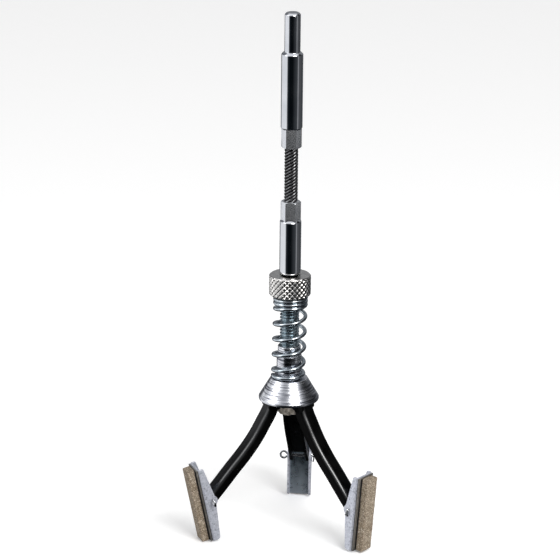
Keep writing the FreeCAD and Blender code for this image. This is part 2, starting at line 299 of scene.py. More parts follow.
def turned_steel():
    """Bare turned steel: feed lines run round it, coarser than real ones, and streak its highlights."""
    mat, tree, shader = material("bright_turned_steel", Metallic=1.0)
    feed = noise_map(tree, object_coords(tree, (130, 130, 1500)), 1.0, 3.0, Roughness=0.65)
    streak = noise_map(tree, object_coords(tree, (100, 100, 2300)), 1.0, 2.0, Distortion=0.2)
    fine = bump(tree, feed, 0.05 * MM, 0.7)
    drive(shader,
          Base_Color=ramp(tree, streak, [(0.34, "#62646C"), (0.47, "#C9CAD0"), (0.60, "#F6F7FA")]),
          Roughness=vary(tree, feed, 0.12, 0.30),
          Normal=bump(tree, streak, 0.06 * MM, 0.8, fine))
    return mat


def zinc_plate(name, low, high, rough_low, rough_high, grain_mm, metallic=1.0):
    """Plated or bare steel: cloudy between two colours, in soft patches of the grain's size."""
    mat, tree, shader = material(name, Metallic=metallic)
    coords = object_coords(tree)
    cloud = noise_map(tree, coords, 1 / (grain_mm * MM), 5.0, Roughness=0.6)
    pits = noise_map(tree, coords, 4 / (grain_mm * MM), 2.0)
    drive(shader,
          Base_Color=ramp(tree, cloud, [(0.32, low), (0.68, high)]),
          Roughness=vary(tree, cloud, rough_low, rough_high),
          Normal=bump(tree, pits, 0.01 * MM, 0.35))
    return mat


def lighten_low_end(mat, shade_from_z, light_below_z):
    """Painted light and shade: low down the plate is painted a light grey-blue and made less metallic; up
    toward the pivot it keeps its darker colour.
    """
    tree = mat.node_tree
    shader = tree.nodes["Principled BSDF"]
    plate = shader.inputs["Base Color"].links[0].from_socket
    height = add(tree, "ShaderNodeSeparateXYZ", {"Vector": object_coords(tree)}).outputs["Z"]
    # painted light toward the low end, painted shade kept toward the pivot
    painted_light_share = spread(tree, height, 1.0, 0.0, light_below_z, shade_from_z)
    drive(shader,
          Base_Color=mix_colour(tree, painted_light_share, plate, linear("#B4BEC8")),
          Metallic=spread(tree, painted_light_share, 0.95, 0.75))


def black_enamel():
    """Stoved black enamel on pressed steel: deep black flats and faint orange peel, with a painted highlight
    on the bends, where the specular level is turned up from nearly nothing to full.
    """
    mat, tree, shader = material("stoved_black_enamel", IOR=1.5)
    # painted highlight: the fold attribute turns the specular level up on the arms' bends and leaves the
    # flats almost without it
    painted_light_mask = add(tree, "ShaderNodeAttribute", attribute_name="fold").outputs["Fac"]
    coords = object_coords(tree)
    peel = noise_map(tree, coords, 700.0, 2.0)
    dust = noise_map(tree, coords, 160.0, 5.0)
    drive(shader,
          Specular_IOR_Level=spread(tree, painted_light_mask, 0.05, 1.0),
          Base_Color=ramp(tree, dust, [(0.35, "#020202"), (0.75, "#080808")]),
          Roughness=vary(tree, dust, 0.22, 0.36),
          Normal=bump(tree, peel, 0.02 * MM, 0.5))
    return mat


def black_wire():
    """Oiled black-oxide steel wire: grey metal on the crown of each wire, and painted shade that makes the
    rest of each wire near black, so the grooves between wires read dark.
    """
    mat, tree, shader = material("oiled_black_oxide_wire", Metallic=0.9)
    worn = noise_map(tree, object_coords(tree), 1400.0, 2.0)
    crown = add(tree, "ShaderNodeAttribute", attribute_name="crown").outputs["Fac"]
    crown_grey = ramp(tree, worn, [(0.35, "#6A6A6B"), (0.72, "#A0A0A1")])
    # painted shade: below the crown of each wire the colour goes to near black
    painted_light_mask = spread(tree, crown, 0.0, 1.0, 0.45, 0.95)
    drive(shader,
          Base_Color=mix_colour(tree, painted_light_mask, linear("#060606"), crown_grey),
          Roughness=vary(tree, worn, 0.10, 0.22))
    return mat


def cast_alloy():
    """Die-cast alloy left as cast: dull warm grey with a grainy skin."""
    mat, tree, shader = material("as_cast_zinc_alloy", Metallic=0.4)
    skin = noise_map(tree, object_coords(tree), 700.0, 6.0)
    drive(shader,
          Base_Color=ramp(tree, skin, [(0.3, "#7A7268"), (0.7, "#CFC7BC")]),
          Roughness=vary(tree, skin, 0.38, 0.6),
          Normal=bump(tree, skin, 0.05 * MM, 0.6))
    return mat


def abrasive_stone():
    """Bonded aluminium-oxide stick: tan, matte, peppered with light and dark grit of about 0.25 mm."""
    mat, tree, shader = material("bonded_tan_abrasive", IOR=1.5, Roughness=0.92)
    coords = object_coords(tree)
    grit = add(tree, "ShaderNodeTexVoronoi", {
        "Vector": coords, "Scale": 1 / (0.26 * MM), "Randomness": 1.0})
    grain = add(tree, "ShaderNodeSeparateColor", {"Color": grit.outputs["Color"]}).outputs[0]
    speckle = ramp(tree, grain, [(0.0, "#54493D"), (0.2, "#746757"), (0.55, "#867A69"),
                                 (0.85, "#9A8E7D"), (0.97, "#C6BCAE")])
    blotch = noise_map(tree, coords, 260.0, 4.0)
    shade = ramp(tree, blotch, [(0.3, "#E6E0D8"), (0.7, "#FFFFFF")])
    drive(shader,
          Base_Color=mix_colour(tree, 1.0, speckle, shade, "MULTIPLY"),
          Normal=bump(tree, grit.outputs["Distance"], 0.08 * MM, 0.7))
    return mat


def black_bond():
    """Black epoxy bond line: dark, slightly shiny, a little uneven."""
    mat, tree, shader = material("black_epoxy_bond", IOR=1.5)
    flow = noise_map(tree, object_coords(tree), 900.0, 3.0)
    drive(shader,
          Base_Color=ramp(tree, flow, [(0.3, "#0C0B0B"), (0.7, "#1F1C1A")]),
          Roughness=vary(tree, flow, 0.3, 0.6),
          Normal=bump(tree, flow, 0.04 * MM, 0.5))
    return mat


PLATING = bright_plating("bright_nickel_chrome_plate", 0.04, 0.12, 0.03 * MM)
CRIMPED = bright_plating("plated_crimp_flats", 0.12, 0.24, 0.22 * MM, 0.90)
CONE_STEEL = turned_steel()
NUT_STEEL = zinc_plate("bright_nickel_plate_on_knurl", "#D9D6D2", "#F4F1EC", 0.14, 0.26, 2.0)
ROD_ZINC = zinc_plate("blue_zinc_plate_on_thread", "#8FA0A8", "#C2CCD1", 0.20, 0.34, 1.2)
SPRING_ZINC = zinc_plate("bright_zinc_plated_spring_wire", "#A3AEB5", "#DCE2E6", 0.04, 0.10, 1.5)
SHOE_ZINC = zinc_plate("white_zinc_plated_sheet", "#AEB2BE", "#DEE0E9", 0.24, 0.42, 0.8, 0.5)
# painted shade: a darker, bluer and more metallic copy of the shoe's zinc plate, for the faces that look into
# the shoe
SHOE_INSIDE_SHADED = zinc_plate("zinc_plate_inside_shoe_painted_shade", "#6E7F8A", "#B4C0C8", 0.22, 0.36, 3.5, 0.95)
# painted light low on the inside of the shoe, its darker shade kept toward the pivot
lighten_low_end(SHOE_INSIDE_SHADED, 15 * MM, 1 * MM)
PLATE_STEEL = zinc_plate("bare_steel_backing_sheet", "#7C7975", "#A5A29D", 0.3, 0.46, 1.6, 0.75)
PIN_STEEL = zinc_plate("drawn_steel_wire", "#A9AAAC", "#D2D3D5", 0.18, 0.30, 1.0)
ENAMEL = black_enamel()
WIRE = black_wire()
ALLOY = cast_alloy()
STONE = abrasive_stone()
BOND = black_bond()


# ---------------------------------------------------------------- shape helpers

def finish_piece(name, bm, mat, body, nodes=(), sharp_deg=32.0):
    """Turns a bmesh into a named piece that rides on a body and stands for CAD nodes."""
    bmesh.ops.recalc_face_normals(bm, faces=bm.faces)
    mesh = bpy.data.meshes.new(name)
    bm.to_mesh(mesh)
    bm.free()
    mesh.shade_smooth()
    mesh.set_sharp_from_angle(angle=math.radians(sharp_deg))
    for each in mat if isinstance(mat, tuple) else (mat,):
        mesh.materials.append(each)
    obj = bpy.data.objects.new(name, mesh)
    bpy.context.scene.collection.objects.link(obj)
    if body:
        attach(obj, body)
    if nodes:
        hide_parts(*nodes)
    return obj


def join_shell(bm, other):
    """Adds a second closed shell to the same mesh."""
    mesh = bpy.data.meshes.new("shell")
    bmesh.ops.recalc_face_normals(other, faces=other.faces)
    other.to_mesh(mesh)
    other.free()
    bm.from_mesh(mesh)
    bpy.data.meshes.remove(mesh)
    return bm


def wire_outline(bm, points, closed=False):
    verts = [bm.verts.new(p) for p in points]
    pairs = list(zip(verts, verts[1:]))
    if closed:
        pairs.append((verts[-1], verts[0]))
    return [bm.edges.new(pair) for pair in pairs]


def round_edges(bm, offset, segments=3, angle_deg=35.0):
    """Rounds every edge that is sharper than the angle."""
    bm.normal_update()
    sharp = [e for e in bm.edges if e.is_manifold and e.calc_face_angle(0.0) > math.radians(angle_deg)]
    bmesh.ops.bevel(bm, geom=sharp, offset=offset, offset_type="OFFSET", affect="EDGES", segments=segments,
                    profile=0.5, material=-1, clamp_overlap=True)
    return bm


def with_guard_points(profile, margin, closed):
    """Adds a point near both ends of each long straight, so that roundings don't bend its shading."""
    pairs = list(zip(profile, profile[1:] + profile[:1] if closed else profile[1:]))
    out = []
    for (r0, z0), (r1, z1) in pairs:
        out.append((r0, z0))
        length = math.hypot(r1 - r0, z1 - z0)
        if length > 4 * margin:
            share = margin / length
            out.append((r0 + (r1 - r0) * share, z0 + (z1 - z0) * share))
            out.append((r1 - (r1 - r0) * share, z1 - (z1 - z0) * share))
    return out if closed else out + [profile[-1]]


def lathe(profile, rounding=0.0, steps=96):
    """Solid of revolution about the tool's axis; the profile is (radius, z) from axis to axis or a ring."""
    bm = bmesh.new()
    ring = min(r for r, z in profile) > 1e-9
    if rounding:
        profile = with_guard_points(profile, 2 * rounding, ring)
    edges = wire_outline(bm, [(r, 0, z) for r, z in profile], closed=ring)
    bmesh.ops.spin(bm, geom=edges, cent=(0, 0, 0), axis=(0, 0, 1), angle=2 * math.pi, steps=steps,
                   use_merge=True)
    bmesh.ops.remove_doubles(bm, verts=bm.verts, dist=1e-7)
    bmesh.ops.recalc_face_normals(bm, faces=bm.faces)
    if rounding:
        round_edges(bm, rounding, 3, 20.0)
    return bm


def coil(bm, section, steps, turn_deg, rise):
    """Sweeps a wire's section round the axis while it climbs; returns the section at the far end."""
    edges = [e for e in section if e.is_valid]
    out = bmesh.ops.spin(bm, geom=edges, cent=(0, 0, 0), axis=(0, 0, 1), dvec=(0, 0, rise / steps),
                         angle=math.radians(turn_deg), steps=steps)
    return [e for e in out["geom_last"] if isinstance(e, bmesh.types.BMEdge)]


def wire_section(bm, wire_r, path_r, z, start_deg, sides):
    """Circle of wire standing across the helix's start."""
    place = Matrix.Rotation(math.radians(start_deg), 4, "Z") @ Matrix.Translation((path_r, 0, z))
    place = place @ Matrix.Rotation(math.radians(90), 4, "X")
    out = bmesh.ops.create_circle(bm, cap_ends=False, radius=wire_r, segments=sides, matrix=place)
    return list({e for v in out["verts"] for e in v.link_edges})


def cap(bm, edges):
    bmesh.ops.contextual_create(bm, geom=edges)


def turn_about_axis(bm, azimuth_deg):
    bmesh.ops.transform(bm, matrix=Matrix.Rotation(math.radians(azimuth_deg), 4, "Z"), verts=bm.verts)


def moved_quarter_turn(centre):
    """Turns the z axis to lie along -y, then moves the origin to the centre."""
    return Matrix.Translation(centre) @ Matrix.Rotation(math.radians(90), 4, "X")


def upright_disc(centre, disc_r, segments, thickness):
    """Round plate that faces along y; it starts at the centre and is thick toward +y."""
    bm = bmesh.new()
    disc = bmesh.ops.create_circle(bm, cap_ends=True, radius=disc_r, segments=segments)
    bmesh.ops.transform(bm, matrix=moved_quarter_turn(centre), verts=disc["verts"])
    grown = bmesh.ops.extrude_face_region(bm, geom=bm.faces[:])
    far_side = [v for v in grown["geom"] if isinstance(v, bmesh.types.BMVert)]
    bmesh.ops.translate(bm, vec=(0, thickness, 0), verts=far_side)
    return bm


def box_mesh(low, high):
    """Block between two opposite corners."""
    bm = bmesh.new()
    size = high - low
    place = Matrix.Translation((low + high) / 2) @ Matrix.Diagonal((*size, 1))
    bmesh.ops.create_cube(bm, size=1.0, matrix=place)
    return bm


def bevel_edges(obj, width):
    """Takes the sharpness off the object's edges with a bevel modifier, baked into its mesh."""
    bevel = obj.modifiers.new("edges", "BEVEL")
    bevel.width = width
    bevel.segments = 2
    bevel.limit_method = "ANGLE"
    bevel.angle_limit = math.radians(50)
    graph = bpy.context.evaluated_depsgraph_get()
    mesh = bpy.data.meshes.new_from_object(obj.evaluated_get(graph))
    sharp = obj.data
    obj.modifiers.clear()
    obj.data = mesh
    bpy.data.meshes.remove(sharp)


def curve_mesh(points, **settings):
    """Mesh of a smooth line through the points; settings may give it a round section."""
    curve = bpy.data.curves.new("line", "CURVE")
    curve.dimensions = "3D"
    for key, value in settings.items():
        setattr(curve, key, value)
    spline = curve.splines.new("BEZIER")
    spline.bezier_points.add(len(points) - 1)
    for knot, point in zip(spline.bezier_points, points):
        knot.co = point
        knot.handle_left_type = knot.handle_right_type = "AUTO"
    holder = bpy.data.objects.new("line", curve)
    mesh = bpy.data.meshes.new_from_object(holder)
    bpy.data.objects.remove(holder)
    bpy.data.curves.remove(curve)
    return mesh


# ---------------------------------------------------------------- drive shank and ferrules

def crimp(z_low, z_high, open_end):
    """Round stock squeezed to six flats, chamfered at its open end."""
    low_r = CRIMP_STOCK_R - (CRIMP_CHAMFER if open_end == "low" else 0)
    high_r = CRIMP_STOCK_R - (CRIMP_CHAMFER if open_end == "high" else 0)
    chamfer_z = 0.8 * CRIMP_CHAMFER
    bm = lathe([(0, z_low), (low_r, z_low), (CRIMP_STOCK_R, z_low + chamfer_z),
                (CRIMP_STOCK_R, z_high - chamfer_z), (high_r, z_high), (0, z_high)])
    for side in range(6):
        bearing = math.radians(CRIMP_TURN_DEG + 30 + 60 * side)
        normal = Vector((math.cos(bearing), math.sin(bearing), 0))
        cut = bmesh.ops.bisect_plane(bm, geom=bm.verts[:] + bm.edges[:] + bm.faces[:], dist=1e-7,
                                     plane_co=normal * CRIMP_FLAT_R, plane_no=normal, clear_outer=True)
        cap(bm, [e for e in cut["geom_cut"] if isinstance(e, bmesh.types.BMEdge)])
    bmesh.ops.remove_doubles(bm, verts=bm.verts, dist=0.02 * MM)
    round_edges(bm, CRIMP_ROUNDING, 3, 22.0)
    for face in bm.faces:
        face.material_index = 1
    return bm


def build_shank():
    top, low = high_z("drive_shank"), low_z("drive_shank")
    shoulder = top - SPIGOT_LENGTH
    crimp_top = low + CRIMP_LENGTH_UPPER
    body = lathe([(0, crimp_top), (FERRULE_R - FERRULE_BEVEL, crimp_top),
                  (FERRULE_R, crimp_top + FERRULE_BEVEL), (FERRULE_R, shoulder - FERRULE_BEVEL),
                  (FERRULE_R - FERRULE_BEVEL, shoulder), (SPIGOT_R, shoulder),
                  (SPIGOT_R, top - SPIGOT_BEVEL), (SPIGOT_R - SPIGOT_BEVEL, top), (0, top)],
                 rounding=FERRULE_ROUNDING)
    join_shell(body, crimp(low, crimp_top + CRIMP_OVERLAP, "low"))
    finish_piece("drive_shank_plated", body, (PLATING, CRIMPED), "shank", ["drive_shank"])


def build_lower_ferrule():
    top, low = high_z("lower_ferrule"), low_z("lower_ferrule")
    crimp_low = top - CRIMP_LENGTH_LOWER
    body = lathe([(NECK_R, low), (FERRULE_R - FERRULE_BEVEL, low), (FERRULE_R, low + FERRULE_BEVEL),
                  (FERRULE_R, crimp_low - FERRULE_BEVEL), (FERRULE_R - FERRULE_BEVEL, crimp_low),
                  (NECK_R, crimp_low)], rounding=FERRULE_ROUNDING)
    join_shell(body, crimp(crimp_low - CRIMP_OVERLAP, top, "high"))
    finish_piece("lower_ferrule_plated", body, (PLATING, CRIMPED), "rod", ["lower_ferrule"])


# ---------------------------------------------------------------- flexible shaft

def build_flex():
    """Black wires laid side by side in a steep helix, in two halves that meet at mid-length."""
    low, high = low_z("flex_winding") + FLEX_UNDRAWN, high_z("flex_winding") - FLEX_UNDRAWN
    middle = JOINTS["shaft_bend_side"]["pos_m"][2]
    wire_r = FLEX_WIRE / 2
    path_r = FLEX_R - wire_r
    core_r = path_r - FLEX_CORE_GAP
    halves = (("lower", low, middle, ("rod", "flex"), middle - FLEX_BEND, middle),
              ("upper", middle, high, ("flex", "shank"), middle, middle + FLEX_BEND))
    for name, z0, z1, bodies, start_z, end_z in halves:
        bm = bmesh.new()
        turns = (z1 - z0) / FLEX_LEAD
        for start in range(FLEX_STARTS):
            phase = 360 * start / FLEX_STARTS + 360 * (z0 - low) / FLEX_LEAD
            section = wire_section(bm, wire_r, path_r, z0, phase, 8)
            last = coil(bm, section, int(turns * 30), 360 * turns, z1 - z0)
            cap(bm, section)
            cap(bm, last)
        # crown runs from -1 on a wire's inner side to 1 on its outer crown; the wire material paints shade on
        # all but the crown
        crown = bm.verts.layers.float.new("crown")
        for vert in bm.verts:
            vert[crown] = (math.hypot(vert.co.x, vert.co.y) - path_r) / wire_r
        core = lathe([(0, z0), (core_r, z0), (core_r, z1), (0, z1)], steps=32)
        upright = [e for e in core.edges if abs(e.verts[0].co.z - e.verts[1].co.z) > MM]
        bmesh.ops.subdivide_edges(core, edges=upright, cuts=36, use_grid_fill=True)
        join_shell(bm, core)
        obj = finish_piece(f"flexible_shaft_{name}", bm, WIRE, None, ["flex_winding", "flex_core"],
                           sharp_deg=60)
        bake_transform(obj)


# ---------------------------------------------------------------- rod, nut and spring

def build_rod():
    top, low = high_z("threaded_rod"), low_z("threaded_rod")
    turns = int((high_z("adjusting_nut") - THREAD_LOW_Z) / THREAD_PITCH)
    thread_top = THREAD_LOW_Z + turns * THREAD_PITCH
    crest = 0.10 * THREAD_PITCH
    z = THREAD_LOW_Z
    bm = bmesh.new()
    middle = z + THREAD_PITCH / 2
    edges = wire_outline(bm, [(THREAD_ROOT_R, 0, z), (THREAD_R, 0, middle - crest),
                              (THREAD_R, 0, middle + crest), (THREAD_ROOT_R, 0, z + THREAD_PITCH)])
    bmesh.ops.spin(bm, geom=edges, cent=(0, 0, 0), axis=(0, 0, 1), dvec=(0, 0, THREAD_PITCH / THREAD_STEPS),
                   angle=2 * math.pi * (turns - 1), steps=THREAD_STEPS * (turns - 1))
    bmesh.ops.remove_doubles(bm, verts=bm.verts, dist=1e-6)
    core_r = THREAD_ROOT_R + 0.01 * MM
    core = lathe([(0, low), (ROD_R, low), (ROD_R, THREAD_LOW_Z), (core_r, THREAD_LOW_Z),
                  (core_r, thread_top), (0, thread_top)], rounding=0.08 * MM)
    join_shell(bm, core)
    # painted shade: the neck from the thread's top up is a near-black piece in the wire material, which has
    # no crown attribute here, for the shade in the gap between the nut and the lower ferrule
    neck_low = thread_top - MM
    neck = lathe([(0, neck_low), (NECK_R, neck_low), (NECK_R, top), (0, top)], steps=48)
    finish_piece("rod_neck_painted_shade", neck, WIRE, "rod", ["threaded_rod"])
    finish_piece("threaded_rod_zinc", bm, ROD_ZINC, "rod", ["threaded_rod"])


def knurl_height(angle, z, rows):
    """1 on a diamond's point, 0 in the grooves between diamonds."""
    u = angle / (2 * math.pi) * KNURL_COUNT
    groove = [abs((u + side * z * rows) % 1.0 - 0.5) * 2 for side in (-1, 1)]
    return 1 - max(groove)


def build_nut():
    low, high = low_z("adjusting_nut"), high_z("adjusting_nut")
    bore_r = THREAD_R + NUT_BORE_GAP
    rows = 1 / (2 * math.pi * NUT_R / KNURL_COUNT)
    side_points = 44
    profile = [(bore_r + NUT_BORE_CHAMFER, low), (NUT_R - NUT_CHAMFER, low)]
    for i in range(side_points + 1):
        profile.append((NUT_R, low + 0.1 * MM + (high - low - 0.2 * MM) * i / side_points))
    profile += [(NUT_R - NUT_CHAMFER, high), (bore_r + NUT_BORE_CHAMFER, high),
                (bore_r, high - NUT_BORE_CHAMFER), (bore_r, low + NUT_BORE_CHAMFER)]
    bm = lathe(profile, steps=KNURL_COUNT * 12)
    for vert in bm.verts:
        r = math.hypot(vert.co.x, vert.co.y)
        if r < NUT_R - 1e-5:
            continue
        raised = min(1.0, knurl_height(math.atan2(vert.co.y, vert.co.x), vert.co.z - low, rows) * 2.1)
        from_end = min(vert.co.z - low, high - vert.co.z)
        target = min(NUT_R - KNURL_DEPTH * (1 - raised), NUT_R - NUT_CHAMFER + from_end * 1.1)
        vert.co.x *= target / r
        vert.co.y *= target / r
    finish_piece("adjusting_nut_knurled", bm, NUT_STEEL, "nut", ["adjusting_nut"], 40)


def build_spring():
    """Right-hand compression spring with closed ends, in two halves."""
    low = low_z("spring") + SPRING_WIRE_R
    high = high_z("spring") - SPRING_WIRE_R
    path_r = radius("spring") - SPRING_WIRE_R
    closed = 2 * SPRING_WIRE_R
    pitch = (high - low - (CLOSED_BELOW + CLOSED_ABOVE) * closed) / ACTIVE_TURNS
    split_z = low + CLOSED_BELOW * closed + SPRING_SPLIT * pitch
    lower = [(CLOSED_BELOW, closed), (SPRING_SPLIT, pitch)]
    upper = [(ACTIVE_TURNS - SPRING_SPLIT, pitch), (CLOSED_ABOVE, closed)]
    split_deg = SPRING_START_DEG + 360 * (CLOSED_BELOW + SPRING_SPLIT)
    closed_z = high - CLOSED_ABOVE * closed
    halves = (("lower", low, SPRING_START_DEG, lower, ("cone", "rod"), low + closed, split_z),
              ("upper", split_z, split_deg, upper, ("rod", "spring_seat"), split_z, closed_z))
    for name, z, start_deg, stages, bodies, start_z, end_z in halves:
        bm = bmesh.new()
        first = wire_section(bm, SPRING_WIRE_R, path_r, z, start_deg, 20)
        last = first
        for turns, rise in stages:
            last = coil(bm, last, max(6, int(turns * 60)), 360 * turns, turns * rise)
        cap(bm, first)
        cap(bm, last)
        for vert in bm.verts:
            vert.co.x += (vert.co.z - (low + high) / 2) * SPRING_LEAN
        obj = finish_piece(f"spring_{name}", bm, SPRING_ZINC, None, ["spring"], 50)
        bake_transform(obj)


# ---------------------------------------------------------------- cone and spider

def build_cone():
    low, hub_top = low_z("spreader_cone"), high_z("spreader_cone")
    rim_top = low + RIM_HEIGHT
    slope = (RIM_R - CONE_TOP_R) / (CONE_TOP_Z - rim_top)
    roof = CONE_TOP_Z - CONE_ROOF
    roof_r = RIM_R - CONE_WALL - slope * (roof - rim_top)
    band_low = hub_top - HUB_BAND_HEIGHT
    bore_low = hub_top - HUB_BORE_DEPTH
    rod_bore_r = ROD_R + CONE_ROD_GAP
    rim = [(RIM_BORE_R, low), (RIM_R - 0.3 * MM, low), (RIM_R, low + 0.35 * MM),
           (RIM_R, rim_top - 0.3 * MM), (RIM_R - 0.25 * MM, rim_top + 0.1 * MM)]
    top = [(CONE_TOP_R, CONE_TOP_Z - 0.1 * MM), (CONE_TOP_R - 0.15 * MM, CONE_TOP_Z), (HUB_R, CONE_TOP_Z)]
    hub = [(HUB_R, band_low), (HUB_BAND_R, band_low + 0.15 * MM), (HUB_BAND_R, hub_top - 0.25 * MM),
           (HUB_BAND_R - 0.25 * MM, hub_top)]
    inside = [(HUB_BORE_R, hub_top), (HUB_BORE_R, bore_low), (rod_bore_r, bore_low), (rod_bore_r, roof),
              (roof_r, roof), (RIM_BORE_R, low + 0.8 * MM)]
    bm = lathe(rim + top + hub + inside, rounding=0.10 * MM, steps=128)
    finish_piece("spreader_cone_turned", bm, CONE_STEEL, "cone", ["spreader_cone"], 28)


def build_spider():
    """Cast hub with crumpled folds round its lower end, and a prong for each arm."""
    low, high = low_z("spider"), high_z("spider")
    waist = [(SPIDER_HUB_R, low + (high - low) * i / 8) for i in range(9)]
    bm = lathe([(ROD_R, low)] + waist + [(ROD_R, high)])
    round_edges(bm, 0.7 * MM, 4, 60.0)
    for vert in bm.verts:
        twist = math.atan2(vert.co.y, vert.co.x) + math.radians(62) + (vert.co.z - low) * 260
        fold = max(0.0, math.cos(4 * twist)) ** 4
        if math.hypot(vert.co.x, vert.co.y) > ROD_R + 0.1 * MM and vert.co.z < 0.5 * (low + high):
            vert.co.x *= 1 - SPIDER_FOLD * fold
            vert.co.y *= 1 - SPIDER_FOLD * fold
    for number in LEGS:
        prong = upright_disc((PIVOT_R, -PRONG_HALF, PIVOT_Z), PRONG_END_R, 32, 2 * PRONG_HALF)
        inner = [v for v in prong.verts if v.co.x < PIVOT_R - 0.1 * MM]
        bmesh.ops.translate(prong, vec=(-PRONG_REACH, 0, 0), verts=inner)
        bmesh.ops.recalc_face_normals(prong, faces=prong.faces)
        round_edges(prong, 0.3 * MM, 2, 60.0)
        turn_about_axis(prong, LEG_AZIMUTH_DEG[number])
        join_shell(bm, prong)
    finish_piece("spider_cast", bm, ALLOY, "rod", ["spider"])


def build_arm_pins():
    """Rivets through the prongs, with low domed heads."""
    dome = 0.02 * MM
    for number in LEGS:
        bm = lathe([(0, -RIVET_HALF), (RIVET_R, -RIVET_HALF + dome), (RIVET_R, RIVET_HALF - dome),
                    (0, RIVET_HALF)], rounding=0.15 * MM, steps=32)
        bmesh.ops.transform(bm, matrix=moved_quarter_turn((PIVOT_R, 0, PIVOT_Z)), verts=bm.verts)
        turn_about_axis(bm, LEG_AZIMUTH_DEG[number])
        finish_piece(f"arm_pin_{number}_steel", bm, PIN_STEEL, "rod", [f"arm_pin_{number}"])


# ---------------------------------------------------------------- arms

def smooth_line(points, count):
    """Points evenly spaced along a smooth line through the given ones."""
    mesh = curve_mesh([(r, 0, z) for r, z in points])
    path = [v.co.copy() for v in mesh.vertices]
    bpy.data.meshes.remove(mesh)
    lengths = [0.0]
    for a, b in zip(path, path[1:]):
        lengths.append(lengths[-1] + (b - a).length)
    out = []
    j = 0
    for i in range(count):
        want = lengths[-1] * i / (count - 1)
        while j < len(path) - 2 and lengths[j + 1] < want:
            j += 1
        share = (want - lengths[j]) / max(lengths[j + 1] - lengths[j], 1e-12)
        out.append(path[j].lerp(path[j + 1], share))
    return out


def channel_section(width, corner_r, back, edge):
    """Outer skin of a channel: from one free edge round the closed side to the other.

    back and edge are distances along the local x axis of the closed side and of the free edges."""
    half = width / 2
    bend_steps = 6
    points = [(edge, half), ((edge + back - corner_r) / 2, half)]
    for i in range(bend_steps + 1):
        a = math.radians(90 * i / bend_steps)
        points.append((back - corner_r + corner_r * math.sin(a), half - corner_r + corner_r * math.cos(a)))
    mirrored = [(x, -y) for x, y in reversed(points)]
    return points + mirrored


def sweep_channel(stations, width, corner_r):
    """Outer skin through the stations: (origin, outward direction, back distance, edge distance, web kept).

    Each side of a section is its first or last two edges; those between them are the web."""
    bm = bmesh.new()
    previous = None
    for origin, outward, back, edge, keep_web in stations:
        section = channel_section(width, corner_r if keep_web else 0.0, back, edge)
        row = [bm.verts.new(origin + outward * x + Vector((0, y, 0))) for x, y in section]
        if previous:
            for i in range(len(row) - 1):
                is_web = 2 <= i < len(row) - 3
                if keep_web or not is_web:
                    bm.faces.new((previous[i], previous[i + 1], row[i + 1], row[i]))
        previous = row
    bmesh.ops.remove_doubles(bm, verts=bm.verts, dist=1e-6)
    bmesh.ops.delete(bm, geom=[v for v in bm.verts if not v.link_faces], context="VERTS")
    return bm


def thicken(bm, sheet):
    """Gives the outer skin its thickness, inward; the faces are wound so that they look outward."""
    bmesh.ops.recalc_face_normals(bm, faces=bm.faces)
    bm.normal_update()
    web = max(bm.faces, key=lambda f: abs(f.normal.x) * f.calc_area())
    if web.normal.x < 0:
        bmesh.ops.reverse_faces(bm, faces=bm.faces)
    bmesh.ops.solidify(bm, geom=bm.faces[:], thickness=sheet)
    return bm


def arm_stations():
    """Stations from the shoulder down to the rounded end, for a leg that lies along +X."""
    back = smooth_line([(r * MM, z * MM) for r, z in ARM_BACK_MM], 26)
    stations = []
    for i, point in enumerate(back):
        along = (back[min(i + 1, len(back) - 1)] - back[max(i - 1, 0)]).normalized()
        outward = Vector((along.z, 0, -along.x))
        if outward.x < 0:
            outward = -outward
        stations.append((point, outward, 0.0, -ARM_DEPTH, True))
    last = back[-1]
    along = (last - back[-2]).normalized()
    to_pivot = Vector((SHOE_PIVOT_R, 0, SHOE_PIVOT_Z)) - last
    reach = to_pivot.dot(along)
    offset = to_pivot.dot(outward)
    straight_steps = 3
    for i in range(straight_steps + 1):
        t = i / straight_steps
        outer = t * (offset + ARM_END_R)
        inner = (1 - t) * (-ARM_DEPTH) + t * (offset - ARM_END_R)
        stations.append((last + along * reach * t, outward, outer, inner, False))
    end_steps = 8
    for i in range(1, end_steps + 1):
        a = math.radians(90 * i / end_steps)
        centre = last + along * (reach + ARM_END_R * math.sin(a))
        r = max(ARM_END_R * math.cos(a), 0.02 * MM)
        stations.append((centre, outward, offset + r, offset - r, False))
    return stations


def mark_folds(bm):
    """Writes how far each vertex sits on a fold, 0 on the flats and 1 on the middle of a bend; the enamel
    paints its highlight from this.
    """
    bm.normal_update()
    layer = bm.verts.layers.float.new("fold")
    for vert in bm.verts:
        tilt = abs(vert.normal.y)
        bend = min(1.0, 4.5 * max(0.0, tilt - 0.04) * max(0.0, 0.97 - tilt))
        vert[layer] = bend if vert.normal.x > 0 else 0.0


def leg_channel():
    """One leg along +X: channel body, side ears at the spider pivot and the tongue under the cone."""
    bm = sweep_channel(arm_stations(), ARM_WIDTH, ARM_BEND_R)
    thicken(bm, ARM_SHEET)
    mark_folds(bm)
    for side in (-1, 1):
        y = side * (ARM_WIDTH - ARM_SHEET) / 2 - ARM_SHEET / 2
        ear = upright_disc((PIVOT_R, y, PIVOT_Z), ARM_EAR_R, 40, ARM_SHEET)
        lower = [v for v in ear.verts if v.co.z < PIVOT_Z - 0.2 * MM]
        bmesh.ops.translate(ear, vec=(0.8 * MM, 0, -1.6 * MM), verts=lower)
        outer = [v for v in ear.verts if v.co.x > PIVOT_R + 0.2 * MM]
        bmesh.ops.translate(ear, vec=(0.9 * MM, 0, -0.4 * MM), verts=outer)
        join_shell(bm, ear)
    tongue = bmesh.new()
    rows = []
    for r, z in TONGUE_MM:
        rows.append([tongue.verts.new((r * MM, y, z * MM)) for y in (-TONGUE_HALF, TONGUE_HALF)])
    for a, b in zip(rows, rows[1:]):
        tongue.faces.new((a[0], a[1], b[1], b[0]))
    thicken(tongue, TONGUE_SHEET)
    join_shell(bm, tongue)
    return bm


